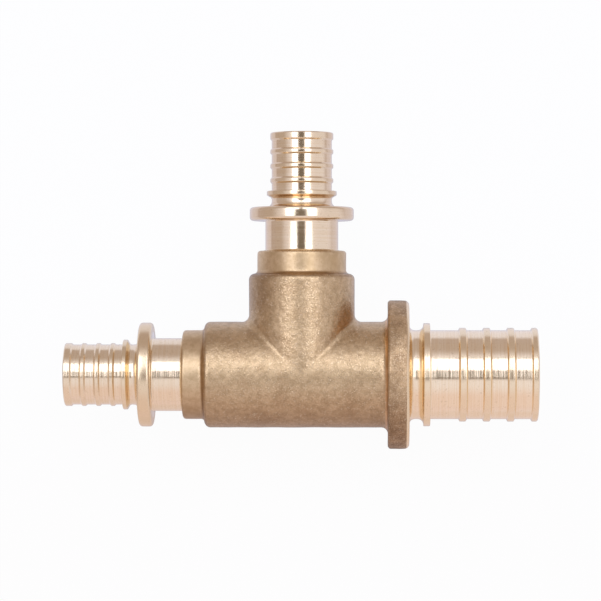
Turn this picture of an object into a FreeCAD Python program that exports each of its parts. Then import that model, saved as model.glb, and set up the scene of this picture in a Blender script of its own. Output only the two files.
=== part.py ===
import FreeCAD
import Part
import math
import os

# Brass reducing tee for sleeve-pressed plastic pipe: a forged body with a large ribbed
# spigot of its own, and two small turned spigots brazed into its sockets.
# Millimetres. The run lies along X with its large end towards +X, the branch leaves
# along +Y, and the origin is where the two centre lines cross.

# Forged barrels and their crossing
barrel_d = 32.5
branch_barrel_step = 0.1
run_shoulder_at = 29.65
branch_shoulder_at = 30.8
shoulder_round = 1.75
shoulder_lean = 0.35
shoulder_face_used = 0.98
crossing_fillet = 2.1

# Socket rings at the two small ends of the body
ring_d = 27.3
run_ring_length = 6.85
branch_ring_length = 7.25
ring_edge_round = 0.9
ring_root_fillet = 1.1
socket_depth = 9.0
braze_gap = 0.05

# Large flange of the body
large_flange_at = 26.45
large_flange_d = 45.65
large_flange_thick = 6.55
large_flange_back_round = 0.9
large_flange_face_round = 1.35
large_flange_draft_start = 3.8
large_flange_draft = 0.15
large_flange_root_fillet = 2.0

# Large spigot, measured along the run from the face of the large flange
large_spigot_length = 39.35
large_spigot_d = 27.3
large_groove_round = 1.75
large_stop_at = 4.35
large_stop_width = 2.05
large_stop_d = 31.7
large_stop_root_fillet = 0.35
large_rib_d = 28.8
large_rib_crest = 1.8
large_rib_flank = 0.45
large_rib_pitch = 7.34
large_rib_first_from_end = 8.3
large_ribs = 3
large_end_rib = 1.75
large_tip_chamfer = 0.4
large_bore_d = 23.0
large_bore_past_crossing = 10.5

# Small spigot, measured outwards from the face of its socket ring
small_reach = 36.35
small_neck_d = 22.4
small_flange_at = 9.3
small_flange_thick = 4.1
small_flange_d = 32.0
small_spigot_d = 18.5
small_stop_at = 17.1
small_stop_width = 1.3
small_stop_slope = 0.8
small_stop_d = 21.5
small_rib_d = 19.4
small_rib_crest = 0.9
small_rib_flank = 0.5
small_rib_pitch = 4.44
small_rib_first_from_end = 5.85
small_ribs = 3
small_end_rib = 1.95
small_tip_chamfer = 0.3
small_bore_d = 15.0

# Waterway inside the body, edge breaks, and the braze at each socket mouth
body_bore_step = 2.0
drill_point_angle = 118.0
flange_round = 1.0
neck_fillet = 0.5
groove_round = 0.9
crest_round = 0.25
bore_chamfer = 0.6
inner_end_chamfer = 0.5
braze_lead_in = 0.6
braze_rise = 0.35
braze_hollow = 0.12

# Where the main faces lie
run_socket_face = run_shoulder_at + run_ring_length
branch_socket_face = branch_shoulder_at + branch_ring_length
large_flange_face = large_flange_at + large_flange_thick
large_end = large_flange_face + large_spigot_length
socket_d = small_neck_d + 2 * braze_gap
body_bore_d = large_bore_d - body_bore_step

x_axis = FreeCAD.Vector(1, 0, 0)
z_axis = FreeCAD.Vector(0, 0, 1)
origin = FreeCAD.Vector(0, 0, 0)


def rounded_corner(before, corner, after, radius):
    """Return the start, middle and end of the arc that rounds one corner."""
    to_before = (before - corner).normalize()
    to_after = (after - corner).normalize()
    half_angle = to_before.getAngle(to_after) / 2
    trim = radius / math.tan(half_angle)
    centre_line = (to_before + to_after).normalize()
    centre = corner + centre_line * (radius / math.sin(half_angle))
    middle = centre - centre_line * radius
    return corner + to_before * trim, middle, corner + to_after * trim


def outline(corners):
    """Close an outline through (along, out) corners; a third value rounds that corner."""
    points = [FreeCAD.Vector(corner[0], corner[1], 0) for corner in corners]
    edges = []
    pen = None
    first = None
    for index, corner in enumerate(corners):
        point = points[index]
        radius = corner[2] if len(corner) > 2 else 0
        if radius > 0:
            after = points[(index + 1) % len(points)]
            start, middle, end = rounded_corner(points[index - 1], point, after, radius)
            arc = Part.Arc(start, middle, end).toShape()
        else:
            start, end, arc = point, point, None
        if pen is not None:
            edges.append(Part.makeLine(pen, start))
        if arc is not None:
            edges.append(arc)
        if first is None:
            first = start
        pen = end
    edges.append(Part.makeLine(pen, first))
    return Part.Wire(edges)


def turned(corners):
    """Turn an outline about the X axis into a solid."""
    return Part.Face(outline(corners)).revolve(origin, x_axis, 360)


def on_branch(shape):
    """Swing a shape that lies along +X onto the branch."""
    return shape.rotated(origin, z_axis, 90)


def on_small_run(shape):
    """Swing a shape that lies along +X onto the small end of the run."""
    return shape.rotated(origin, z_axis, 180)


def rib(centre, root_r, crest_r, crest, flank):
    """Four corners of one rib, with softened crest edges."""
    half = crest / 2
    return [
        (centre - half - flank, root_r),
        (centre - half, crest_r, crest_round),
        (centre + half, crest_r, crest_round),
        (centre + half + flank, root_r),
    ]


def ribbed_end(end, centres, root_r, crest_r, crest, flank, end_rib, tip_chamfer):
    """Corners of a row of ribs and of the wider rib that finishes the spigot."""
    corners = []
    for centre in centres:
        corners += rib(centre, root_r, crest_r, crest, flank)
    corners += [
        (end - end_rib - flank, root_r),
        (end - end_rib, crest_r, crest_round),
        (end - tip_chamfer, crest_r),
        (end, crest_r - tip_chamfer),
    ]
    return corners


def shoulder(at, barrel_r, ring_r):
    """Barrel corner and ring corner of a leaning shoulder, with rounds that fit on its face."""
    step = barrel_r - ring_r
    face = math.hypot(step, shoulder_lean)
    half_turn = math.atan2(step, shoulder_lean) / 2
    wanted = (shoulder_round + ring_root_fillet) * math.tan(half_turn)
    share = min(1, face * shoulder_face_used / wanted)
    return [
        (at, barrel_r, shoulder_round * share),
        (at + shoulder_lean, ring_r, ring_root_fillet * share),
    ]


def run_outside():
    """Outside of the body along the run, from the small socket ring to the large tip."""
    barrel_r = barrel_d / 2
    ring_r = ring_d / 2
    flange_r = large_flange_d / 2
    spigot_r = large_spigot_d / 2
    stop_r = large_stop_d / 2
    stop_at = large_flange_face + large_stop_at
    stop_end = stop_at + large_stop_width
    first_rib = large_end - large_rib_first_from_end
    centres = [first_rib - large_rib_pitch * (large_ribs - 1 - index) for index in range(large_ribs)]
    barrel_end, ring_root = shoulder(run_shoulder_at, barrel_r, ring_r)
    corners = [
        (-run_socket_face, 0),
        (-run_socket_face, ring_r, ring_edge_round),
        (-ring_root[0], *ring_root[1:]),
        (-barrel_end[0], *barrel_end[1:]),
        (large_flange_at, barrel_r, large_flange_root_fillet),
        (large_flange_at, flange_r, large_flange_back_round),
        (large_flange_at + large_flange_draft_start, flange_r),
        (large_flange_face, flange_r - large_flange_draft, large_flange_face_round),
        (large_flange_face, spigot_r, large_groove_round),
        (stop_at, spigot_r, large_groove_round),
        (stop_at, stop_r, crest_round),
        (stop_end, stop_r, crest_round),
        (stop_end, spigot_r, large_stop_root_fillet),
    ]
    corners += ribbed_end(large_end, centres, spigot_r, large_rib_d / 2,
                          large_rib_crest, large_rib_flank, large_end_rib, large_tip_chamfer)
    corners.append((large_end, 0))
    return turned(corners)


def branch_outside():
    """Outside of the body along the branch, from the crossing to the socket ring."""
    barrel_r = barrel_d / 2 - branch_barrel_step / 2
    ring_r = ring_d / 2
    corners = [
        (0, 0),
        (0, barrel_r),
        *shoulder(branch_shoulder_at, barrel_r, ring_r),
        (branch_socket_face, ring_r, ring_edge_round),
        (branch_socket_face, 0),
    ]
    return on_branch(turned(corners))


def crossing_edges(shape):
    """Edges where the branch barrel meets the run barrel."""
    reach = barrel_d / 2 + crossing_fillet
    found = []
    for edge in shape.Edges:
        box = edge.BoundBox
        near = max(abs(box.XMin), abs(box.XMax), abs(box.YMax)) < reach
        across = box.XLength > branch_barrel_step and box.YLength > branch_barrel_step
        if near and across:
            found.append(edge)
    return found


def socket(face):
    """Cutter for one socket: its lead-in for the braze, its bore and the waterway below."""
    socket_r = socket_d / 2
    floor = face - socket_depth
    corners = [
        (0, 0),
        (0, body_bore_d / 2),
        (floor, body_bore_d / 2),
        (floor, socket_r),
        (face - braze_lead_in, socket_r),
        (face, socket_r + braze_lead_in),
        (face, 0),
    ]
    return turned(corners)


def large_waterway():
    """Cutter for the bore that is drilled in from the large end, with its drill point."""
    bore_r = large_bore_d / 2
    body_bore_r = body_bore_d / 2
    point = (bore_r - body_bore_r) / math.tan(math.radians(drill_point_angle / 2))
    corners = [
        (-large_bore_past_crossing - point, 0),
        (-large_bore_past_crossing - point, body_bore_r),
        (-large_bore_past_crossing, bore_r),
        (large_end - bore_chamfer, bore_r),
        (large_end, bore_r + bore_chamfer),
        (large_end, 0),
    ]
    return turned(corners)


def tee_body():
    """Forged and machined body."""
    shape = run_outside().fuse(branch_outside())
    shape = shape.makeFillet(crossing_fillet, crossing_edges(shape))
    shape = shape.cut(large_waterway())
    shape = shape.cut(on_small_run(socket(run_socket_face)))
    return shape.cut(on_branch(socket(branch_socket_face)))


def small_spigot(face):
    """Turned small spigot, standing in the socket whose mouth is at face."""
    bore_r = small_bore_d / 2
    neck_r = small_neck_d / 2
    flange_r = small_flange_d / 2
    spigot_r = small_spigot_d / 2
    stop_r = small_stop_d / 2
    inner_end = face - socket_depth
    end = face + small_reach
    flange_at = face + small_flange_at
    flange_face = flange_at + small_flange_thick
    stop_end = face + small_stop_at + small_stop_width
    first_rib = end - small_rib_first_from_end
    centres = [first_rib - small_rib_pitch * (small_ribs - 1 - index) for index in range(small_ribs)]
    corners = [
        (inner_end, bore_r + bore_chamfer),
        (inner_end, neck_r - inner_end_chamfer),
        (inner_end + inner_end_chamfer, neck_r),
        (flange_at, neck_r, neck_fillet),
        (flange_at, flange_r, flange_round),
        (flange_face, flange_r, flange_round),
        (flange_face, spigot_r, groove_round),
        (face + small_stop_at - small_stop_slope, spigot_r, groove_round),
        (face + small_stop_at, stop_r, crest_round),
        (stop_end, stop_r, crest_round),
        (stop_end, spigot_r),
    ]
    corners += ribbed_end(end, centres, spigot_r, small_rib_d / 2,
                          small_rib_crest, small_rib_flank, small_end_rib, small_tip_chamfer)
    corners += [
        (end, bore_r + bore_chamfer),
        (end - bore_chamfer, bore_r),
        (inner_end + bore_chamfer, bore_r),
    ]
    return turned(corners)


def braze_ring(face):
    """Ring of filler that stands in a socket's lead-in, with a hollow face."""
    neck_r = small_neck_d / 2
    edge = FreeCAD.Vector(face, socket_d / 2 + braze_lead_in, 0)
    foot = FreeCAD.Vector(face - braze_lead_in, socket_d / 2, 0)
    inner = FreeCAD.Vector(face - braze_lead_in, neck_r, 0)
    top = FreeCAD.Vector(face + braze_rise, neck_r, 0)
    middle = (edge + top) * 0.5
    towards_corner = z_axis.cross(edge - top).normalize()
    arc = Part.Arc(top, middle + towards_corner * braze_hollow, edge)
    edges = [
        Part.makeLine(edge, foot),
        Part.makeLine(foot, inner),
        Part.makeLine(inner, top),
        arc.toShape(),
    ]
    return Part.Face(Part.Wire(edges)).revolve(origin, x_axis, 360)


pieces = {
    "tee_body": tee_body(),
    "run_spigot": on_small_run(small_spigot(run_socket_face)),
    "branch_spigot": on_branch(small_spigot(branch_socket_face)),
    "run_braze_ring": on_small_run(braze_ring(run_socket_face)),
    "branch_braze_ring": on_branch(braze_ring(branch_socket_face)),
}

os.makedirs("parts", exist_ok=True)
for name, shape in pieces.items():
    shape.exportStep("parts/" + name + ".step")
    box = shape.BoundBox
    print(name, "solids", len(shape.Solids), "valid", shape.isValid(),
          "volume", round(shape.Volume, 1), "faces", len(shape.Faces),
          "X", round(box.XMin, 2), round(box.XMax, 2),
          "Y", round(box.YMin, 2), round(box.YMax, 2),
          "Z", round(box.ZMin, 2), round(box.ZMax, 2))
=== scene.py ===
# %% [markdown]
# # A brass reducing tee
#
# The real fitting is three pieces of brass and two rings of braze. The body is forged hot in a die,
# blasted clean and cut to size at its ends. Two small spigots are turned from bright bar and brazed
# into its sockets. This lesson rebuilds each solid of that tee as a finer mesh, gives the forging
# its slightly uneven skin, and makes a material for each finish.

# %% Load the solids as a fixed frame
import math

import bmesh
import bpy
from mathutils import Matrix, Vector, noise


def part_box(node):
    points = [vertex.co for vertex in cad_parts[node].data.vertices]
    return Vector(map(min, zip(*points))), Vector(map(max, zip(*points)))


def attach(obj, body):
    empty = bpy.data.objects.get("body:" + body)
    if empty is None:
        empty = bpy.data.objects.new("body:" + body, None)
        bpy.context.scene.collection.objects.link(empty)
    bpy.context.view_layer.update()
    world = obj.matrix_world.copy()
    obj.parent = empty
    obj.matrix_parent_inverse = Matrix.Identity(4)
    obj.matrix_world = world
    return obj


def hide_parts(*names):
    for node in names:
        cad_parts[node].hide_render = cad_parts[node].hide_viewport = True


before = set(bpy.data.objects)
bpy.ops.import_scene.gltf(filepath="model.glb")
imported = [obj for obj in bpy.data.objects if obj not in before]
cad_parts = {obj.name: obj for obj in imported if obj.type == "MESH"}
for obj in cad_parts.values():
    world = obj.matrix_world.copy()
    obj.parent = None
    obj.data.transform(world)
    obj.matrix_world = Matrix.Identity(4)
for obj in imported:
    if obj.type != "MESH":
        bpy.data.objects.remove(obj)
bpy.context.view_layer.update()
print("solid nodes", sorted(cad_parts))

# %% [markdown]
# ## Sizes
#
# Blender works in metres here. What the solids already say is read from their boxes, so a face of
# the dressed piece lies on the face of the solid. The rest are the sizes of the turned outlines,
# written in millimetres times `mm`, as they would stand on a drawing.

# %% Read the faces of the solids
mm = 0.001
body_low, body_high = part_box("tee_body")
run_low, run_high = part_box("run_spigot")

run_socket_face = -body_low.x
branch_socket_face = body_high.y
large_end = body_high.x
large_flange_r = body_high.z
small_flange_r = run_high.z
small_reach = -run_low.x - run_socket_face
socket_depth = run_socket_face + run_high.x
print("socket faces", round(run_socket_face / mm, 2), round(branch_socket_face / mm, 2),
      "large end", round(large_end / mm, 2), "reach", round(small_reach / mm, 2))

# %% Sizes of the forged body
barrel_r = 16.25 * mm
run_shoulder_at = 29.65 * mm
branch_shoulder_at = 30.8 * mm
shoulder_round = 1.75 * mm
shoulder_lean = 0.35 * mm
crossing_fillet = 2.1 * mm
ring_r = 13.65 * mm
ring_edge_round = 0.9 * mm
ring_root_fillet = 1.1 * mm
large_flange_at = 26.45 * mm
large_flange_face = 33.0 * mm
large_flange_back_round = 0.9 * mm
large_flange_face_round = 1.35 * mm
large_flange_draft_start = 3.8 * mm
large_flange_draft = 0.15 * mm
large_flange_root_fillet = 2.0 * mm

# %% Sizes of the large spigot and of the waterway
large_spigot_r = 13.65 * mm
large_groove_round = 1.75 * mm
large_stop_at = 37.35 * mm
large_stop_width = 2.05 * mm
large_stop_root_fillet = 0.35 * mm
large_stop_r = 15.85 * mm
large_rib_r = 14.4 * mm
large_rib_crest = 1.8 * mm
large_rib_flank = 0.45 * mm
large_rib_pitch = 7.34 * mm
large_rib_first_from_end = 8.3 * mm
large_end_rib = 1.75 * mm
large_tip_chamfer = 0.4 * mm
large_bore_r = 11.5 * mm
large_bore_past_crossing = 10.5 * mm
body_bore_r = 10.5 * mm
braze_gap = 0.05 * mm
braze_lead_in = 0.6 * mm
braze_rise = 0.35 * mm
bore_chamfer = 0.6 * mm
crest_round = 0.25 * mm

# %% Sizes of the small spigot, measured from the socket face
neck_r = 11.2 * mm
socket_r = neck_r + braze_gap
neck_fillet = 0.5 * mm
small_flange_at = 9.3 * mm
small_flange_thick = 4.1 * mm
flange_round = 1.0 * mm
groove_flange_round = 1.9 * mm
groove_stop_round = 0.9 * mm
small_spigot_r = 9.25 * mm
small_stop_at = 17.1 * mm
small_stop_width = 1.3 * mm
small_stop_slope = 0.8 * mm
small_stop_r = 10.75 * mm
small_rib_r = 9.7 * mm
small_rib_crest = 0.9 * mm
small_rib_flank = 0.5 * mm
small_rib_pitch = 4.44 * mm
small_rib_first_from_end = 5.85 * mm
small_end_rib = 1.95 * mm
small_tip_chamfer = 0.3 * mm
small_bore_r = 7.5 * mm
inner_end_chamfer = 0.5 * mm
rib_count = 3

# %% [markdown]
# ## Turned shapes
#
# A lathe makes a part by moving a cutter along an outline while the bar turns. Blender's spin
# operator does the same: it carries an outline once round an axis and leaves faces behind. The
# outline starts as a few corner points joined by edges. A vertex bevel then rounds the corners
# that the drawing rounds, which keeps the list of corners as short as the drawing's own.

# %% Draw an outline and turn it
merge_distance = 0.001 * mm
corner_segments = 5
steps = 192
hard_edge = math.radians(28)


def draw_outline(bm, corners, closed=True):
    """Join (along, out) corners by edges, and round those that give a radius."""
    verts = [bm.verts.new((corner[0], corner[1], 0)) for corner in corners]
    count = len(verts)
    for index in range(count if closed else count - 1):
        bm.edges.new((verts[index], verts[(index + 1) % count]))
    places = [vert.co.copy() for vert in verts]
    for index, corner in enumerate(corners):
        if len(corner) > 2:
            before, after = places[index - 1], places[(index + 1) % count]
            angle = (before - places[index]).angle(after - places[index])
            bmesh.ops.bevel(bm, geom=[verts[index]], offset=corner[2] / math.tan(angle / 2),
                            offset_type="OFFSET", segments=corner_segments, profile=0.5,
                            affect="VERTICES", clamp_overlap=False, material=-1)


def turn(bm, corners, closed=True, row=None):
    """Spin an outline once round the X axis; row is the longest edge that it may keep."""
    draw_outline(bm, corners, closed)
    if row is not None:
        for edge in [edge for edge in bm.edges if edge.calc_length() > row]:
            bmesh.ops.subdivide_edges(bm, edges=[edge], cuts=int(edge.calc_length() / row))
    bmesh.ops.spin(bm, geom=bm.verts[:] + bm.edges[:], cent=(0, 0, 0), axis=(1, 0, 0),
                   angle=math.tau, steps=steps, use_merge=True)
    bmesh.ops.remove_doubles(bm, verts=bm.verts, dist=merge_distance)


def add_object(name, data):
    """Put a mesh, a lamp or a camera into the scene."""
    made = bpy.data.objects.new(name, data)
    bpy.context.scene.collection.objects.link(made)
    return made


def finish_piece(name, bm):
    """Merge doubles, point the faces outwards and shade all but hard edges smooth."""
    bmesh.ops.remove_doubles(bm, verts=bm.verts, dist=merge_distance)
    bmesh.ops.recalc_face_normals(bm, faces=bm.faces)
    open_edges = sum(1 for edge in bm.edges if len(edge.link_faces) != 2)
    mesh = bpy.data.meshes.new(name)
    bm.to_mesh(mesh)
    bm.free()
    mesh.shade_smooth()
    mesh.set_sharp_from_angle(angle=hard_edge)
    print(name, "faces", len(mesh.polygons), "open edges", open_edges)
    return add_object(name, mesh)


def turned_piece(name, corners, swing):
    """A piece turned from a closed outline, and swung into its place."""
    bm = bmesh.new()
    turn(bm, corners)
    bmesh.ops.transform(bm, matrix=swing, verts=bm.verts)
    return finish_piece(name, bm)


# %% Corners of the ribs
def ribbed_end(end, first_from_end, pitch, root_r, crest_r, crest, flank, end_rib, tip_chamfer):
    """Corners of a row of ribs and of the wider rib that ends a spigot."""
    corners = []
    for index in range(rib_count):
        centre = end - first_from_end - pitch * (rib_count - 1 - index)
        corners += [
            (centre - crest / 2 - flank, root_r),
            (centre - crest / 2, crest_r, crest_round),
            (centre + crest / 2, crest_r, crest_round),
            (centre + crest / 2 + flank, root_r),
        ]
    corners += [
        (end - end_rib - flank, root_r),
        (end - end_rib, crest_r, crest_round),
        (end - tip_chamfer, crest_r),
        (end, crest_r - tip_chamfer),
    ]
    return corners


# %% [markdown]
# ## The small turned spigots
#
# Both small ends carry the same spigot, turned from bright bar: a neck that stands in the socket,
# a flange that the press tool bears on, a groove, a stop ridge for the pipe and a row of ribs.
# One closed outline, bore and outside together, gives the whole part in one spin.

# %% Turn the small spigots
to_run = Matrix.Rotation(math.pi, 4, "Z")
to_branch = Matrix.Rotation(math.pi / 2, 4, "Z")


def small_spigot(name, face, swing):
    """One small spigot standing in the socket whose mouth is at face."""
    inner_end = face - socket_depth
    end = face + small_reach
    flange_at = face + small_flange_at
    flange_face = flange_at + small_flange_thick
    stop_end = face + small_stop_at + small_stop_width
    corners = [
        (inner_end, small_bore_r + bore_chamfer),
        (inner_end, neck_r - inner_end_chamfer),
        (inner_end + inner_end_chamfer, neck_r),
        (flange_at, neck_r, neck_fillet),
        (flange_at, small_flange_r, flange_round),
        (flange_face, small_flange_r, flange_round),
        (flange_face, small_spigot_r, groove_flange_round),
        (face + small_stop_at - small_stop_slope, small_spigot_r, groove_stop_round),
        (face + small_stop_at, small_stop_r, crest_round),
        (stop_end, small_stop_r, crest_round),
        (stop_end, small_spigot_r),
    ]
    corners += ribbed_end(end, small_rib_first_from_end, small_rib_pitch, small_spigot_r, small_rib_r,
                          small_rib_crest, small_rib_flank, small_end_rib, small_tip_chamfer)
    corners += [
        (end, small_bore_r + bore_chamfer),
        (end - bore_chamfer, small_bore_r),
        (inner_end + bore_chamfer, small_bore_r),
    ]
    return turned_piece(name, corners, swing)


run_piece = small_spigot("run_spigot_turned", run_socket_face, to_run)
branch_piece = small_spigot("branch_spigot_turned", branch_socket_face, to_branch)

# %% [markdown]
# ## The forged body
#
# The hard part of a tee is where two barrels of one size meet. Their meeting line is a mitre at
# 45 degrees, and the die leaves a fillet along it: the path of a ball that rolls in the corner and
# touches both barrels. With equal barrels that ball's touch lines have a simple place. On a line
# of the barrel at height y, the ball touches at x = y * (barrel + fillet) / barrel. So the barrels
# are extruded rings whose inner ends are moved to those places, and the strip between them is
# bridged, subdivided and pushed onto the ball.

# %% Build the crossing of the two barrels
barrel_rows = 26
barrel_row_from = 7.8 * mm
fillet_rows = 8
touch_ratio = (barrel_r + crossing_fillet) / barrel_r


def barrel(bm, swing, foot_place):
    """Extrude a ring towards the crossing, and move each inner point to its foot."""
    ring = bmesh.ops.create_circle(bm, cap_ends=False, radius=barrel_r, segments=steps, matrix=swing)
    edges = list({edge for vert in ring["verts"] for edge in vert.link_edges})
    out = bmesh.ops.extrude_edge_only(bm, edges=edges)["geom"]
    foot_verts = [item for item in out if isinstance(item, bmesh.types.BMVert)]
    for vert in foot_verts:
        vert.co = foot_place(vert.co)
    return [item for item in out if isinstance(item, bmesh.types.BMEdge)]


def run_foot(side):
    """Where the ball touches the run barrel on one side; the lower half meets in the middle."""
    return lambda co: Vector((side * touch_ratio * max(co.y, 0), co.y, co.z))


def branch_foot(co):
    """Where the ball touches the branch barrel."""
    return Vector((co.x, touch_ratio * abs(co.x), co.z))


def edges_inside(edges, inside):
    """The edges whose two ends both satisfy a test."""
    return [edge for edge in edges if all(inside(vert.co) for vert in edge.verts)]


def fillet_strip(bm, run_edges, branch_edges, side):
    """Bridge one side's two touch lines and push the strip onto the rolling ball."""
    first = edges_inside(run_edges, lambda co: co.y > -merge_distance)
    second = edges_inside(branch_edges, lambda co: side * co.x > -merge_distance)
    bridge = bmesh.ops.bridge_loops(bm, edges=first + second)
    cuts = bmesh.ops.subdivide_edges(bm, edges=bridge["edges"], cuts=fillet_rows - 1,
                                     use_grid_fill=True)
    centre_r = barrel_r + crossing_fillet
    new_verts = {item for item in cuts["geom_inner"] if isinstance(item, bmesh.types.BMVert)}
    for vert in new_verts:
        height = max(-1.0, min(1.0, vert.co.z / barrel_r))
        reach = math.sqrt(1 - height * height)
        centre = Vector((side * centre_r * reach, centre_r * reach, centre_r * height))
        away = vert.co - centre
        if away.length > merge_distance:
            vert.co = centre + away.normalized() * crossing_fillet


def crossing(bm, small_at, large_at, branch_at):
    """The two barrels and the rolled fillet between them."""
    to_yz = Matrix.Rotation(math.pi / 2, 4, "Y")
    to_xz = Matrix.Rotation(math.pi / 2, 4, "X")
    small = barrel(bm, Matrix.Translation((-small_at, 0, 0)) @ to_yz, run_foot(-1))
    large = barrel(bm, Matrix.Translation((large_at, 0, 0)) @ to_yz, run_foot(1))
    up = barrel(bm, Matrix.Translation((0, branch_at, 0)) @ to_xz, branch_foot)
    fillet_strip(bm, small, up, -1)
    fillet_strip(bm, large, up, 1)
    bmesh.ops.remove_doubles(bm, verts=bm.verts, dist=merge_distance)
    bmesh.ops.dissolve_degenerate(bm, edges=bm.edges, dist=merge_distance)
    long_edges = [edge for edge in bm.edges if edge.calc_length() > barrel_row_from]
    bmesh.ops.subdivide_edges(bm, edges=long_edges, cuts=barrel_rows, use_grid_fill=True)


body_mesh = bmesh.new()
crossing(body_mesh, run_shoulder_at - shoulder_round, large_flange_at - large_flange_root_fillet,
         branch_shoulder_at - shoulder_round)
print("crossing faces", len(body_mesh.faces))

# %% [markdown]
# The ends of the body are turned shapes again: the small sockets with their rings and shoulders,
# and on the large end the flange, the groove, the stop ridge and the ribs. Each outline starts
# where its barrel ends and has the same number of steps, so its first ring of points falls on
# the barrel's last, and merging doubles welds them.

# %% Turn the three ends of the body
skin_row = 0.8 * mm


def end_of_body(bm, corners, swing):
    """Turn an open outline that runs from a barrel to the axis, and add it to the body."""
    part = bmesh.new()
    turn(part, corners, closed=False, row=skin_row)
    bmesh.ops.transform(part, matrix=swing, verts=part.verts)
    scratch = bpy.data.meshes.new("scratch")
    part.to_mesh(scratch)
    part.free()
    bm.from_mesh(scratch)
    bpy.data.meshes.remove(scratch)


def socket_end(shoulder_at, face):
    """Outline of a shoulder, its ring and the ring's end face."""
    return [
        (shoulder_at - shoulder_round, barrel_r),
        (shoulder_at, barrel_r, shoulder_round),
        (shoulder_at + shoulder_lean, ring_r, ring_root_fillet),
        (face, ring_r, ring_edge_round),
        (face, 0),
    ]


large_outline = [
    (large_flange_at - large_flange_root_fillet, barrel_r),
    (large_flange_at, barrel_r, large_flange_root_fillet),
    (large_flange_at, large_flange_r, large_flange_back_round),
    (large_flange_at + large_flange_draft_start, large_flange_r),
    (large_flange_face, large_flange_r - large_flange_draft, large_flange_face_round),
    (large_flange_face, large_spigot_r, large_groove_round),
    (large_stop_at, large_spigot_r, large_groove_round),
    (large_stop_at, large_stop_r, crest_round),
    (large_stop_at + large_stop_width, large_stop_r, crest_round),
    (large_stop_at + large_stop_width, large_spigot_r, large_stop_root_fillet),
]
large_outline += ribbed_end(large_end, large_rib_first_from_end, large_rib_pitch, large_spigot_r,
                            large_rib_r, large_rib_crest, large_rib_flank, large_end_rib,
                            large_tip_chamfer)
large_outline.append((large_end, 0))

end_of_body(body_mesh, socket_end(run_shoulder_at, run_socket_face), to_run)
end_of_body(body_mesh, socket_end(branch_shoulder_at, branch_socket_face), to_branch)
end_of_body(body_mesh, large_outline, Matrix.Identity(4))
body_outside = finish_piece("tee_body_forged", body_mesh)

# %% [markdown]
# ## The waterway
#
# The body is drilled from its three openings. A Boolean modifier does the same with turned cutters:
# one along the run and one down the branch, each closed on its axis.

# %% Drill the body
def socket_cut(face):
    """Outline of a socket, its lead-in for the braze and the waterway below it."""
    over = 1 * mm
    floor = face - socket_depth
    return [
        (0, 0),
        (0, body_bore_r),
        (floor, body_bore_r),
        (floor, socket_r),
        (face - braze_lead_in, socket_r),
        (face + over, socket_r + braze_lead_in + over),
        (face + over, 0),
    ]


drill_point_angle = math.radians(118)
drill_point = (large_bore_r - body_bore_r) / math.tan(drill_point_angle / 2)
large_cut = [
    (-large_bore_past_crossing - drill_point, 0),
    (-large_bore_past_crossing - drill_point, body_bore_r),
    (-large_bore_past_crossing, large_bore_r),
    (large_end - bore_chamfer, large_bore_r),
    (large_end + bore_chamfer, large_bore_r + 2 * bore_chamfer),
    (large_end + bore_chamfer, 0),
]


def drill(piece, tool):
    """Take one cutter out of a piece, and keep the result as its mesh."""
    step = piece.modifiers.new("drill", "BOOLEAN")
    step.operation = "DIFFERENCE"
    step.solver = "EXACT"
    step.object = tool
    depsgraph = bpy.context.evaluated_depsgraph_get()
    drilled = bpy.data.meshes.new_from_object(piece.evaluated_get(depsgraph))
    piece.modifiers.clear()
    piece.data = drilled
    bpy.data.objects.remove(tool)
    print("drilled", piece.name, "faces", len(drilled.polygons))


drill(body_outside, turned_piece("large_drill", large_cut, Matrix.Identity(4)))
drill(body_outside, turned_piece("run_drill", socket_cut(run_socket_face), to_run))
drill(body_outside, turned_piece("branch_drill", socket_cut(branch_socket_face), to_branch))

# %% [markdown]
# ## The forging's skin
#
# A forging is never a perfect cylinder. The die wears, the flash is ground off and the blasting
# rounds what is left, so light runs along it unevenly. Moving each point of the skin by a little
# smooth noise gives that. Faces that were machined afterwards stay true, so their points keep still.

# %% Make the forged skin slightly uneven
skin_wave = 7 * mm
skin_ripple = 2.6 * mm
skin_wave_depth = 0.07 * mm
skin_ripple_depth = 0.025 * mm
skin_fade = 1.2 * mm


def in_bore(place):
    """Whether a point of the body lies inside one of its bores or on a lead-in."""
    mouth_r = socket_r + braze_lead_in + merge_distance
    on_branch_side = place.y > 0 and math.hypot(place.x, place.z) < mouth_r
    return on_branch_side or math.hypot(place.y, place.z) < mouth_r


def forged_share(place):
    """1 on the skin that the die left, fading to 0 towards each machined face."""
    if in_bore(place):
        return 0
    to_machined = min(large_flange_face - place.x, run_socket_face + place.x,
                      branch_socket_face - place.y)
    return max(0, min(1, to_machined / skin_fade))


def unsettle(mesh):
    """Move the forged points along their normals by two sizes of smooth noise."""
    moved = 0
    for vert in mesh.vertices:
        share = forged_share(vert.co)
        if share > 0:
            wave = noise.noise(vert.co / skin_wave) * skin_wave_depth
            ripple = noise.noise(vert.co / skin_ripple) * skin_ripple_depth
            vert.co += vert.normal * (wave + ripple) * share
            moved += 1
    mesh.update()
    print("forged points moved", moved, "of", len(mesh.vertices))


unsettle(body_outside.data)

# %% [markdown]
# ## Braze in the socket mouths
#
# The filler is fed as a ring, melts, and freezes as a thin bead round each neck. It wets the brass
# unevenly, so its edge wanders a little. A bead is one more spin, whose points are moved by noise.

# %% Lay the braze beads
bead_wave = 3.2 * mm
bead_depth = 0.09 * mm
bead_cover = 0.25 * mm


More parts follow.
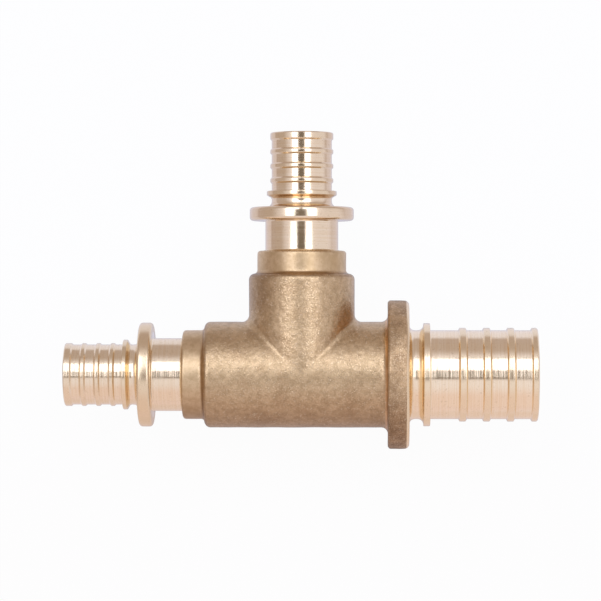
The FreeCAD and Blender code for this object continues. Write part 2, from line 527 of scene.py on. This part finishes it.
def braze_bead(name, face, swing):
    """A bead that fills the lead-in of a socket and climbs the neck a little."""
    out = socket_r + braze_lead_in
    corners = [
        (face - braze_lead_in, socket_r),
        (face - braze_lead_in, neck_r),
        (face + braze_rise, neck_r),
        (face + braze_rise / 2, (neck_r + out) / 2, bead_cover),
        (face, out),
    ]
    bm = bmesh.new()
    turn(bm, corners)
    for vert in bm.verts:
        if vert.co.x > face + merge_distance:
            vert.co.x += noise.noise(vert.co / bead_wave) * bead_depth
    bmesh.ops.transform(bm, matrix=swing, verts=bm.verts)
    return finish_piece(name, bm)


run_bead = braze_bead("run_braze_bead", run_socket_face, to_run)
branch_bead = braze_bead("branch_braze_bead", branch_socket_face, to_branch)

# %% [markdown]
# ## Finishes
#
# Every finish of this tee is bare brass, so one family of node groups serves them all. Turned brass
# differs from a blasted forging in its skin, not in its metal: the lathe leaves fine rings, and the
# blasting a grain of tiny pits. Each group makes one such effect from Object coordinates and puts
# out masks and heights. The materials then choose colours, roughness and depth.

# %% Helpers for node trees
white = (1, 1, 1)


def node(tree, kind, **values):
    """Add a node; values that name an input set its default, the others set a property."""
    made = tree.nodes.new("ShaderNode" + kind)
    for key, value in values.items():
        if key in made.inputs:
            made.inputs[key].default_value = value
        else:
            setattr(made, key, value)
    return made


def feed(tree, value, socket):
    """Link a value to a socket, or set the socket to a constant."""
    if isinstance(value, bpy.types.NodeSocket):
        tree.links.new(value, socket)
    elif socket.type == "RGBA":
        socket.default_value = (*value, 1)
    else:
        socket.default_value = value


def calc(tree, operation, first, second=0, clamp=False):
    """The output of a Math node on links or numbers."""
    made = node(tree, "Math", operation=operation, use_clamp=clamp)
    feed(tree, first, made.inputs[0])
    feed(tree, second, made.inputs[1])
    return made.outputs[0]


def times(tree, first, second):
    """Multiply two values."""
    return calc(tree, "MULTIPLY", first, second)


def ramp(tree, value, low, high):
    """Map a value from low to high onto 0 to 1, clamped; low may be the larger."""
    made = node(tree, "MapRange", interpolation_type="SMOOTHSTEP")
    for label, given in (("Value", value), ("From Min", low), ("From Max", high)):
        feed(tree, given, made.inputs[label])
    return made.outputs["Result"]


# %% Helpers for vectors and groups
def stretch(tree, vector, factors):
    """Multiply a vector or a colour by three factors, or by one link."""
    made = node(tree, "VectorMath", operation="MULTIPLY")
    feed(tree, vector, made.inputs[0])
    feed(tree, factors, made.inputs[1])
    return made.outputs[0]


def noise_value(tree, vector, fineness, detail, roughness=0.5):
    """Noise with so many grains to the metre, all ways or along each axis."""
    made = node(tree, "TexNoise", Scale=1, Detail=detail, Roughness=roughness)
    feed(tree, stretch(tree, vector, fineness), made.inputs["Vector"])
    return made.outputs["Fac"]


def split(tree, vector):
    """The X, Y and Z of a vector."""
    made = node(tree, "SeparateXYZ")
    feed(tree, vector, made.inputs[0])
    return made.outputs


def along_and_across(tree, along, across):
    """Three factors: one for X, and one for both Y and Z."""
    made = node(tree, "CombineXYZ")
    for value, socket in zip((along, across, across), made.inputs):
        feed(tree, value, socket)
    return made.outputs[0]


def new_group(name, values, outputs):
    """Start a node group that takes a Vector and named values, and gives masks or a Color."""
    tree = bpy.data.node_groups.new(name, "ShaderNodeTree")
    new_socket = tree.interface.new_socket
    new_socket("Vector", in_out="INPUT", socket_type="NodeSocketVector")
    for label, value in values.items():
        new_socket(label, in_out="INPUT", socket_type="NodeSocketFloat").default_value = value
    for label in outputs:
        kind = "Color" if label == "Color" else "Float"
        new_socket(label, in_out="OUTPUT", socket_type="NodeSocket" + kind)
    print("group", name, "gives", outputs)
    start, end = [tree.nodes.new("NodeGroup" + way) for way in ("Input", "Output")]
    return tree, start.outputs, end.inputs


# %% [markdown]
# The first group is the lathe's: rings as fine as the tool's feed, all round the bar. Its vector must
# lie with X along the bar, so that noise squeezed along X and drawn out across it becomes rings.

# %% Group: turning marks
per_mm = 1 / mm
coarse_rings = 0.25
coarse_height = 0.12
tone_noise = (0.35, 0.65)

tree, given, result = new_group(
    "turning_marks", {"Marks": 14 * per_mm, "Wander": 0.06 * per_mm}, ["Height", "Tone"])
rings = []
for share in (1, coarse_rings):
    fineness = along_and_across(tree, times(tree, given["Marks"], share), given["Wander"])
    rings.append(noise_value(tree, given["Vector"], fineness, detail=1))
fine, coarse = rings
feed(tree, calc(tree, "ADD", fine, times(tree, coarse, coarse_height)), result["Height"])
feed(tree, ramp(tree, coarse, *tone_noise), result["Tone"])
turning_marks = tree

# %% [markdown]
# The second is the blasting's: a close grain of pits, and wider shallow dents where the die or a
# neighbour in the tumbler struck. The tops of the grain are rubbed bright and its pockets stay dull,
# so each comes out as a mask of its own.

# %% Group: blasted grain
glint_noise = (0.52, 0.68)
pocket_noise = (0.44, 0.30)

tree, given, result = new_group("blasted_grain", {"Grain": 3 * per_mm, "Dents": 0.5 * per_mm},
                                ["Pits", "Dents", "Glint", "Pockets"])
pits = noise_value(tree, given["Vector"], given["Grain"], detail=2, roughness=0.65)
dents = noise_value(tree, given["Vector"], given["Dents"], detail=3, roughness=0.55)
feed(tree, pits, result["Pits"])
feed(tree, dents, result["Dents"])
feed(tree, ramp(tree, pits, *glint_noise), result["Glint"])
feed(tree, ramp(tree, pits, *pocket_noise), result["Pockets"])
blasted_grain = tree

# %% [markdown]
# The third is for what time and handling leave: wide clouds of darker metal, a mottle of smaller
# patches, and specks. All three are noise at their own scale, so one loop makes them from a table.

# %% Group: stains
# For each stain, the detail of its noise and the noise values where it begins and is full.
stain_noise = {"Clouds": (4, 0.42, 0.72), "Mottle": (4, 0.38, 0.64), "Specks": (2, 0.6, 0.74)}

tree, given, result = new_group(
    "stains", {"Clouds": 0.12 * per_mm, "Mottle": 0.6 * per_mm, "Specks": 1.6 * per_mm},
    list(stain_noise))
for label, (detail, begins, full) in stain_noise.items():
    patches = noise_value(tree, given["Vector"], given[label], detail)
    feed(tree, ramp(tree, patches, begins, full), result[label])
stains = tree

# %% [markdown]
# The fourth is for the knocks of a bin full of fittings: short thin nicks. They are noise drawn out
# in two slanting directions, of which only the highest ridges are kept, so they stay sparse.

# %% Group: nicks
nick_slants = [(0.5, 0.4, 0.6), (-0.6, 0.3, -0.9)]
nick_noise = (0.68, 0.76)

tree, given, result = new_group(
    "nicks", {"Length": 0.5 * per_mm, "Width": 4.5 * per_mm}, ["Nicks"])
fineness = along_and_across(tree, given["Length"], given["Width"])
masks = []
for slant in nick_slants:
    slanted = node(tree, "Mapping", Rotation=slant)
    feed(tree, given["Vector"], slanted.inputs["Vector"])
    ridges = noise_value(tree, slanted.outputs[0], fineness, detail=1)
    masks.append(ramp(tree, ridges, *nick_noise))
feed(tree, calc(tree, "MAXIMUM", *masks), result["Nicks"])
nicks = tree

# %% [markdown]
# ## Materials
#
# Each material starts as a Principled BSDF that is all metal. Groups give it masks, Mix nodes turn
# masks into colours, and a Bump node turns heights into a skin. Heights are true sizes, in metres,
# because the Bump node's distance is. Two kinds of layer recur: a stain covers the metal through its
# mask, and a tint multiplies the colour, so it darkens or warms what is there.

# %% Helpers for materials
def start_material(name, metallic=1):
    """A material, its node tree, its shader and the piece's own coordinates."""
    material = bpy.data.materials.new(name)
    material.use_nodes = True
    tree = material.node_tree
    shader = tree.nodes["Principled BSDF"]
    shader.inputs["Metallic"].default_value = metallic
    return material, tree, shader, node(tree, "TexCoord").outputs["Object"]


def place_group(tree, group, vector, **values):
    """Place a node group with its own values; returns its outputs."""
    made = node(tree, "Group", node_tree=group)
    for key, value in {"Vector": vector, **values}.items():
        feed(tree, value, made.inputs[key])
    return made.outputs


def mix_color(tree, mask, first, second):
    """Mix two colours by a mask; they are inputs 6 and 7 of a Mix node."""
    made = node(tree, "Mix", data_type="RGBA")
    for slot, value in ((0, mask), (6, first), (7, second)):
        feed(tree, value, made.inputs[slot])
    return made.outputs[2]


def stain_color(tree, color, layers):
    """Cover a colour by others in turn, each through its mask."""
    for mask, stain in layers:
        color = mix_color(tree, mask, color, stain)
    return color


def tint_color(tree, color, layers):
    """Multiply a colour by each layer's factors, as far as its mask goes."""
    for mask, factors in layers:
        color = stretch(tree, color, mix_color(tree, mask, white, factors))
    return color


def spread(tree, mask, low, high):
    """Turn a mask of 0 to 1 into a value between low and high."""
    return calc(tree, "ADD", times(tree, mask, high - low), low)


def feed_metal(tree, shader, color, roughness, heights):
    """Feed the shader its colour, its roughness and a stack of bumps, given as (height, depth)."""
    feed(tree, color, shader.inputs["Base Color"])
    feed(tree, roughness, shader.inputs["Roughness"])
    normal = shader.inputs["Normal"]
    for height, depth in reversed(heights):
        bump = node(tree, "Bump", Distance=depth)
        feed(tree, height, bump.inputs["Height"])
        feed(tree, bump.outputs["Normal"], normal)
        normal = bump.inputs["Normal"]


def distance_from_x(tree, place):
    """Distance of a point from the X axis."""
    squares = [times(tree, place[axis], place[axis]) for axis in ("Y", "Z")]
    return calc(tree, "SQRT", calc(tree, "ADD", *squares))


def turned_from_eye(tree):
    """How far the surface turns away from the eye: 0 head-on and 1 edge-on."""
    return node(tree, "LayerWeight").outputs["Facing"]


# %% [markdown]
# Bright turned brass covers all that the lathe cut. It is nearly a mirror, so its rings are very
# shallow. The crests of the ribs are more golden, and the flange was left satin. Their distance from
# the bar's axis tells such places apart, which saves splitting the mesh. The three turned parts came
# out a little different, so each has its own look.

# %% Material: bright turned brass
turned_color = (0.93, 0.773, 0.546)
turned_deep_color = (0.9, 0.721, 0.487)
turned_stain_color = (0.66, 0.502, 0.332)
turned_speck_share = 0.5
turned_roughness = (0.10, 0.17)
turned_away = (0.38, 0.46)
satin_color = (0.84, 0.66, 0.42)
satin_inside = 3 * mm
satin_marks = 0.3
marks_mean = 0.56
crest_color = (0.88, 0.71, 0.47)
crest_rise = 0.25 * mm
crest_roughness = 0.04
mask_edge = 0.4 * mm


def turned_brass(name, sizes, look, quarter_turn=False):
    """Bright brass off the lathe, golden on crests and satin on the flange.

    The bar lies along X or, quarter turned, along Y. Sizes are where the ribbed part starts, its
    radius and the radius of the flange. Look is the tone, the tone of painted shade where the
    surface turns away, the depth of the marks, and how golden and how much rougher the flange is.
    """
    ribs_from, spigot_r, flange_r = sizes
    tone, edge_shade, marks_depth, satin_gold, satin_rough = look
    material, tree, shader, where = start_material(name)
    along = node(tree, "Mapping", Rotation=(0, 0, -math.pi / 2 if quarter_turn else 0))
    feed(tree, where, along.inputs["Vector"])
    marks = place_group(tree, turning_marks, along.outputs[0])
    age = place_group(tree, stains, where)
    place = split(tree, along.outputs[0])
    from_axis = distance_from_x(tree, place)
    from_middle = calc(tree, "ABSOLUTE", place["X"])
    crest_from = spigot_r + crest_rise
    crest = times(tree, ramp(tree, from_middle, ribs_from, ribs_from + mask_edge),
                  ramp(tree, from_axis, crest_from, crest_from + mask_edge))
    satin_from = flange_r - satin_inside
    satin = ramp(tree, from_axis, satin_from, satin_from + mask_edge)
    color = stain_color(tree, turned_color, [
        (marks["Tone"], turned_deep_color),
        (crest, crest_color),
        (times(tree, satin, satin_gold), satin_color),
        (times(tree, age["Specks"], turned_speck_share), turned_stain_color),
    ])
    # Where the surface turns edge-on, the edge tone paints shade.
    toned = mix_color(tree, ramp(tree, turned_from_eye(tree), *turned_away), (tone,) * 3, edge_shade)
    roughness = spread(tree, age["Clouds"], *turned_roughness)
    for mask, added in ((crest, crest_roughness), (satin, satin_rough)):
        roughness = calc(tree, "ADD", roughness, times(tree, mask, added))
    from_mean = calc(tree, "SUBTRACT", marks["Height"], marks_mean)
    rings = times(tree, from_mean, spread(tree, satin, 1, satin_marks))
    feed_metal(tree, shader, stretch(tree, color, toned), roughness, [(rings, marks_depth)])
    return material


def small_sizes(face):
    """Where the small ribs start, and the radii of spigot and flange."""
    return face + small_flange_at + small_flange_thick, small_spigot_r, small_flange_r


turned_body = turned_brass("turned_brass_body", (large_flange_face, large_spigot_r, large_flange_r),
                           look=(1.0, white, 0.022 * mm, 1.0, 0.15))
turned_run = turned_brass("turned_brass_run", small_sizes(run_socket_face),
                          look=(0.95, (0.95, 0.95, 0.95), 0.026 * mm, 0.9, 0.12))
# The branch spigot's look paints shade where it turns edge-on.
turned_branch = turned_brass("turned_brass_branch", small_sizes(branch_socket_face), quarter_turn=True,
                             look=(0.97, (0.8, 0.74, 0.7), 0.007 * mm, 0.2, 0.04))
print("turned brass", turned_body.name, turned_run.name, turned_branch.name)

# %% [markdown]
# The forging is dull gold. Blasting left its grain, handling nicked it, and the rim of its flange,
# which stands out furthest, is the most scarred and blotched. Three places are darker than the
# rest: the corners under the socket rings and the branch's left flank, where the shade is painted,
# and the side away from the branch. The root of the large flange gets a painted golden reflection,
# and the skin a painted shade where it turns edge-on. Each is a tint whose mask is worked out from
# the place, so no texture has to be drawn.

# %% Sizes and colours of the forging
forged_color = (0.63, 0.451, 0.252)
forged_deep_color = (0.5, 0.336, 0.178)
forged_stain_color = (0.32, 0.209, 0.107)
forged_mottle_color = (0.4, 0.272, 0.137)
forged_glint_color = (0.78, 0.61, 0.39)
forged_roughness = (0.38, 0.22)
mottle_share = 0.55
glint_share = 0.7
pocket_share = 0.6
pit_depth = 0.045 * mm
dent_depth = 0.18 * mm
nick_color = (0.86, 0.72, 0.52)
nick_share = 0.85
nick_depth = 0.05 * mm

rim_r = (19.5 * mm, 21.0 * mm)
rim_tint = (1.04, 1.03, 1.04)
rim_roughness = 0.15
# Shares off the rim and on it.
blotch_shares = (0.08, 0.75)
speck_shares = (0.4, 1.0)
# A painted golden reflection in the root of the large flange.
painted_root_reflection = (1.35, 1.22, 1.12)
# A painted shade where the skin turns edge-on to the eye.
painted_grazing_shade = (0.5, 0.5, 0.5)
grazing = (0.82, 0.95)

# %% Places where the forging is darker
# Painted shade in the corners under the socket rings.
painted_corner_shade = (0.8, 0.74, 0.68)
corner_half = 0.65 * mm
corner_edge = 0.3 * mm
# The skin grows darker towards -Y, the side away from the branch.
away_side_starts = -1 * mm
away_side_ends = -19 * mm
away_side_tint = (0.62, 0.57, 0.55)
# Painted shade on the branch's left flank.
flank_x = (-7 * mm, -12 * mm)
flank_y = (14 * mm, 25 * mm)
painted_flank_shade = (0.74, 0.7, 0.68)


def near_plane(tree, place, plane):
    """A mask that is 1 within a corner's half width of a plane."""
    away = calc(tree, "ABSOLUTE", calc(tree, "SUBTRACT", place, plane))
    return ramp(tree, away, corner_half + corner_edge, corner_half)


def corner_shade_and_away_side(tree, place, lowest):
    """Tints of painted shade in the corners under the socket rings and of the darker side away from the
    branch.
    """
    corners = calc(tree, "MAXIMUM", near_plane(tree, place["X"], -run_shoulder_at),
                   near_plane(tree, place["Y"], branch_shoulder_at))
    return [(corners, painted_corner_shade), (ramp(tree, place["Y"], away_side_starts, lowest), away_side_tint)]


# %% Masks of the forging
forged_skin, tree, shader, where = start_material("forged_brass_blasted")
skin = place_group(tree, blasted_grain, where)
age = place_group(tree, stains, where)
blotches = place_group(tree, stains, where, Mottle=0.2 * per_mm)["Mottle"]
knocks = place_group(tree, nicks, where)["Nicks"]
place = split(tree, where)
on_rim = times(tree, ramp(tree, distance_from_x(tree, place), *rim_r),
               ramp(tree, place["X"], large_flange_at - large_flange_root_fillet, large_flange_at))
# The root of the large flange, which gets a painted golden reflection.
reflecting_root = calc(tree, "SUBTRACT", near_plane(tree, place["X"], large_flange_at), on_rim, clamp=True)
# The branch's left flank, which gets painted shade.
flank = times(tree, ramp(tree, place["X"], *flank_x), ramp(tree, place["Y"], *flank_y))
scars = calc(tree, "MAXIMUM", times(tree, skin["Pockets"], pocket_share),
             times(tree, age["Specks"], spread(tree, on_rim, *speck_shares)))

# %% Colour and skin of the forging
color = stain_color(tree, forged_color, [
    (age["Clouds"], forged_deep_color),
    (times(tree, age["Mottle"], mottle_share), forged_mottle_color),
    (times(tree, blotches, spread(tree, on_rim, *blotch_shares)), forged_stain_color),
    (times(tree, skin["Glint"], glint_share), forged_glint_color),
    (scars, forged_stain_color),
])
# Tints: a painted reflection in the flange root, painted shade at edge-on skin, in the corners and on
# the flank, and darker towards the side away from the branch.
color = tint_color(tree, color, [
    (on_rim, rim_tint),
    (reflecting_root, painted_root_reflection),
    (ramp(tree, turned_from_eye(tree), *grazing), painted_grazing_shade),
    *corner_shade_and_away_side(tree, place, away_side_ends),
    (flank, painted_flank_shade),
])
color = mix_color(tree, times(tree, knocks, nick_share), color, nick_color)
roughness = calc(tree, "ADD", spread(tree, skin["Glint"], *forged_roughness),
                 times(tree, on_rim, rim_roughness))
heights = [(skin["Dents"], dent_depth), (knocks, -nick_depth), (skin["Pits"], pit_depth)]
feed_metal(tree, shader, color, roughness, heights)
print("forging", forged_skin.name, "nodes", len(forged_skin.node_tree.nodes))

# %% [markdown]
# The rings round the sockets are part of the forging, but the flame of the brazing toned them: they
# are smoother and more golden. The same painted corner shade lies under them, and they too grow
# darker towards the side away from the branch.

# %% Material: socket rings, heated by the brazing
ring_color = (0.67, 0.492, 0.285)
ring_deep_color = (0.58, 0.408, 0.214)
ring_mottle_color = (0.45, 0.303, 0.146)
ring_mottle_share = 0.5
ring_spot_share = 0.8
ring_roughness = (0.39, 0.32)
ring_pit_depth = 0.02 * mm
ring_away_side_ends = -16 * mm

ring_skin, tree, shader, where = start_material("socket_ring_brass")
skin = place_group(tree, blasted_grain, where, Grain=2.6 * per_mm)
age = place_group(tree, stains, where)
spots = calc(tree, "MAXIMUM", times(tree, age["Mottle"], ring_mottle_share), skin["Pockets"])
color = stain_color(tree, ring_color, [
    (age["Clouds"], ring_deep_color),
    (times(tree, spots, ring_spot_share), ring_mottle_color),
])
# Painted shade in the corners under the ring, and darker towards the side away from the branch.
color = tint_color(tree, color, corner_shade_and_away_side(tree, split(tree, where), ring_away_side_ends))
roughness = spread(tree, skin["Glint"], *ring_roughness)
feed_metal(tree, shader, color, roughness, [(skin["Pits"], ring_pit_depth)])

# %% [markdown]
# The filler froze from a melt, so it is paler than the brass, smooth and a little lumpy. The same
# grain group serves, at a coarser scale.

# %% Material: braze filler
filler_color = (0.9, 0.794, 0.566)
filler_deep_color = (0.7, 0.543, 0.332)
filler_roughness = (0.2, 0.34)
filler_depth = 0.03 * mm

filler, tree, shader, where = start_material("braze_filler_frozen")
skin = place_group(tree, blasted_grain, where, Grain=1.2 * per_mm)
color = mix_color(tree, skin["Glint"], filler_color, filler_deep_color)
roughness = spread(tree, skin["Glint"], *filler_roughness)
feed_metal(tree, shader, color, roughness, [(skin["Pits"], filler_depth)])
print("materials", [item.name for item in bpy.data.materials])

# %% [markdown]
# ## Which face gets which finish
#
# The body is one piece with three finishes. The die left most of it, the lathe cut the large spigot,
# the face of the flange and the bores, and the brazing flame toned the socket rings. The place of
# each face tells them apart, so one loop hands out the material slots.

# %% Give each face its finish
finish_slots = [forged_skin, turned_body, ring_skin]
finish_forged, finish_turned, finish_ring = range(3)
machined_edge = 0.8 * mm


def finish_of(centre):
    """Index of the finish of a body face, from its centre."""
    if centre.x > large_flange_face - machined_edge or in_bore(centre):
        return finish_turned
    on_run_ring = -centre.x > run_shoulder_at + shoulder_lean
    on_branch_ring = centre.y > branch_shoulder_at + shoulder_lean
    return finish_ring if on_run_ring or on_branch_ring else finish_forged


for piece, finishes in ((body_outside, finish_slots), (run_piece, [turned_run]),
                        (branch_piece, [turned_branch]), (run_bead, [filler]), (branch_bead, [filler])):
    piece.data.materials.clear()
    for material in finishes:
        piece.data.materials.append(material)

counts = [0] * len(finish_slots)
for polygon in body_outside.data.polygons:
    polygon.material_index = finish_of(polygon.center)
    counts[polygon.material_index] += 1
print("faces forged, turned, ring", counts)

# %% [markdown]
# ## Pieces and solids
#
# Each dressed piece rides on the fitting's only body and stands in for the solid that it follows.

# %% Tie the pieces to the solids
dressed = [
    (body_outside, "tee_body", "forged_brass"),
    (run_piece, "run_spigot", "turned_brass"),
    (branch_piece, "branch_spigot", "turned_brass"),
    (run_bead, "run_braze_ring", "braze_filler"),
    (branch_bead, "branch_braze_ring", "braze_filler"),
]
for piece, solid, slot in dressed:
    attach(piece, "root")
    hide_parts(solid)
print("pieces", [piece.name for piece, solid, slot in dressed])

# %% [markdown]
# ## Camera
#
# The photograph looks straight down on the tee, from about nine tenths of a metre, turned a hair to
# the right. The lens follows from the distance and from how many millimetres one pixel shows.

# %% Set up the camera
photo_size = 601
photo_centre = Vector((-0.4 * mm, 22.8 * mm, 0))
photo_scale = 0.3078 * mm
camera_distance = 2900 * photo_scale
camera_yaw = math.radians(1.47)
camera_pitch = math.radians(0.4)


def hang(name, data, aim, back, distance):
    """Hang a camera or lamp at a distance along back, looking at its aim, its top towards +Y."""
    back = back.normalized()
    right = Vector((0, 1, 0)).cross(back).normalized()
    made = add_object(name, data)
    made.location = aim + back * distance
    made.rotation_mode = "QUATERNION"
    made.rotation_quaternion = Matrix((right, back.cross(right), back)).transposed().to_quaternion()
    return made


camera_data = bpy.data.cameras.new("camera")
towards_camera = Vector((math.sin(camera_yaw), -math.sin(camera_pitch), 1))
camera_data.lens = camera_data.sensor_width * camera_distance / (photo_size * photo_scale)
bpy.context.scene.camera = hang("camera", camera_data, photo_centre, towards_camera, camera_distance)
print("lens", round(camera_data.lens, 1), "distance", round(camera_distance, 3))

# %% [markdown]
# ## Light
#
# Polished metal shows its room, so the room is built from what the bands on the spigots tell. On a
# cylinder, a point that is turned away by an angle shows the room at twice that angle. Read so, the
# photograph had soft boxes left and right of the camera and behind it, with the camera's dark
# column and its arm between them. The wall in front, towards -Y, was bright and the one behind
# dimmer. The boxes are area lamps, because they give most of the light. The rest is drawn by the
# world's nodes. The tone of the walls is a group, because the world and the far table both use it.

# %% Group: tone of the room by direction
wall_behind = (0.53, 0.459, 0.462)
wall_behind_high = (0.78, 0.756, 0.882)
wall_in_front = (0.87, 0.756, 0.805)
wall_right = (0.83, 0.81, 0.93)
wall_overhead = (0.92, 0.928, 1.09)
front_share_of_x = 0.5
front_begins_and_full = (-0.45, 0.5)
behind_high = (0.35, 0.7)
front_right = (0.3, 0.9)
overhead = (0.5, 1.0)

tree, given, result = new_group("room_tone", {}, ["Color"])
way = split(tree, given["Vector"])
frontness = calc(tree, "SUBTRACT", times(tree, way["X"], front_share_of_x), way["Y"])
front = ramp(tree, frontness, *front_begins_and_full)
behind = mix_color(tree, ramp(tree, way["Z"], *behind_high), wall_behind, wall_behind_high)
in_front = mix_color(tree, ramp(tree, way["X"], *front_right), wall_in_front, wall_right)
above = times(tree, ramp(tree, way["Z"], *overhead), front)
color = stain_color(tree, behind, [(front, in_front), (above, wall_overhead)])
feed(tree, color, result["Color"])
room_tone = tree

# %% Edges of what hangs over the tee
def slope(degrees):
    """Sideways step for one step up, so far from straight up."""
    return math.tan(math.radians(degrees))


column_x = (slope(-14), slope(13))
column_y = (slope(-11), slope(13))
arm_x = (slope(-5), slope(5))
arm_y = (slope(-11), slope(47))
soft_edge = 0.06
glow_x = [(slope(-49), slope(-34)), (slope(34), slope(34) - soft_edge)]
glow_y = [(slope(57), slope(41)), (slope(-6) - soft_edge, slope(-6))]
glow_color = (1.0, 1.0, 1.18)
column_color = (0.2, 0.17, 0.15)
lowest_ray = 0.05


def between(tree, value, low, high):
    """A mask that is 1 between two limits, with soft edges."""
    return times(tree, ramp(tree, value, low - soft_edge, low + soft_edge),
                 ramp(tree, value, high + soft_edge, high - soft_edge))


# %% Light the room
world = bpy.data.worlds.new("studio")
world.use_nodes = True
tree = world.node_tree
towards = node(tree, "TexCoord").outputs["Generated"]
walls = place_group(tree, room_tone, towards)["Color"]
way = split(tree, towards)
height = calc(tree, "MAXIMUM", way["Z"], lowest_ray)
across = calc(tree, "DIVIDE", way["X"], height)
along = calc(tree, "DIVIDE", way["Y"], height)
column = times(tree, between(tree, across, *column_x), between(tree, along, *column_y))
arm = times(tree, between(tree, across, *arm_x), between(tree, along, *arm_y))
glow = 1
for value, edges in ((across, glow_x), (along, glow_y)):
    for begins, full in edges:
        glow = times(tree, glow, ramp(tree, value, begins, full))
dark = calc(tree, "MAXIMUM", column, arm)
color = stain_color(tree, walls, [(glow, glow_color), (dark, column_color)])
feed(tree, color, tree.nodes["Background"].inputs["Color"])
bpy.context.scene.world = world
bpy.context.scene.view_settings.view_transform = "Standard"
print("world", world.name, "column", [round(edge, 2) for edge in column_x + column_y])

# %% Hang the soft boxes
lamp_distance = 1.2
lamp_color = (0.84, 0.909, 1.12)
box_radiance = 1.8
box_aim = Vector((0, photo_centre.y, 0))
# Degrees from straight up of each box's left, right, front and back edge.
soft_boxes = {
    "box_left_side": (-34, -14, -6, 13),
    "box_right_side": (13.5, 34, -6, 13),
    "box_left_back": (-34, -5, 13, 42),
    "box_right_back": (5, 34, 13, 42),
}


def soft_box(name, left, right, front, back):
    """An area lamp that fills a range of angles from straight up."""
    data = bpy.data.lights.new(name, "AREA")
    data.shape = "RECTANGLE"
    data.size = 2 * lamp_distance * slope((right - left) / 2)
    data.size_y = 2 * lamp_distance * slope((back - front) / 2)
    data.energy = box_radiance * math.pi * data.size * data.size_y
    data.color = lamp_color
    print(name, "power", round(data.energy, 2))
    towards = Vector((slope((left + right) / 2), slope((front + back) / 2), 1))
    hang(name, data, box_aim, towards, lamp_distance)


for name, edges in soft_boxes.items():
    soft_box(name, *edges)

# %% [markdown]
# ## The table
#
# The table is white to the camera, as the photograph's background is, and still takes the tee's
# shadow. To other rays it mostly glows, a painted light: white where a ray falls steeply, near the
# tee, with a painted shadow where a ray falls straight down under it, and the tone of the walls far
# out. Light Path picks out the camera's rays, and Layer Weight tells how steep a ray is.

# %% The white table's material
table_near_behind = (0.87, 0.885, 1.06)
table_near_in_front = (0.82, 0.718, 0.739)
table_front = (0.3, -0.5)
table_steep = (0.72, 0.56)
table_straight_down = (0.10, 0.02)
table_shadow_under = (0.8, 0.8, 0.8)
table_roughness = 0.8
table_gain = 1.08
table_own_white = 0.96
table_glow = 0.85

white_table, tree, shader, where = start_material("white_table", metallic=0)
shader.inputs["Roughness"].default_value = table_roughness
shader.inputs["Specular IOR Level"].default_value = 0
outwards = node(tree, "VectorMath", operation="NORMALIZE")
feed(tree, where, outwards.inputs[0])
far = place_group(tree, room_tone, outwards.outputs[0])["Color"]
in_front = ramp(tree, split(tree, outwards.outputs[0])["Y"], *table_front)
near = mix_color(tree, in_front, table_near_behind, table_near_in_front)
shallow = turned_from_eye(tree)
color = mix_color(tree, ramp(tree, shallow, *table_steep), far, near)
# A painted shadow where a ray falls straight down, under the tee.
color = tint_color(tree, color, [(ramp(tree, shallow, *table_straight_down), table_shadow_under)])
feed(tree, stretch(tree, color, (1 / table_gain,) * 3), shader.inputs["Base Color"])
# Rays other than the camera's mostly see the table's own glow, a painted light.
to_camera = node(tree, "LightPath").outputs["Is Camera Ray"]
own = node(tree, "Emission", Strength=1)
feed(tree, mix_color(tree, to_camera, color, white), own.inputs["Color"])
blend = node(tree, "MixShader")
share = spread(tree, to_camera, table_glow, table_own_white)
for value, socket in zip((share, shader.outputs[0], own.outputs[0]), blend.inputs):
    feed(tree, value, socket)
feed(tree, blend.outputs[0], tree.nodes["Material Output"].inputs["Surface"])

# %% Lay the table
table_reach = 4

table_corners = bmesh.new()
bmesh.ops.create_grid(table_corners, x_segments=1, y_segments=1, size=table_reach,
                      matrix=Matrix.Translation((0, 0, -large_flange_r)))
table_mesh = bpy.data.meshes.new("floor")
table_corners.to_mesh(table_mesh)
table_corners.free()
table_mesh.materials.append(white_table)
floor = add_object("floor", table_mesh)
print("table at height", round(-large_flange_r / mm, 2), "mm")
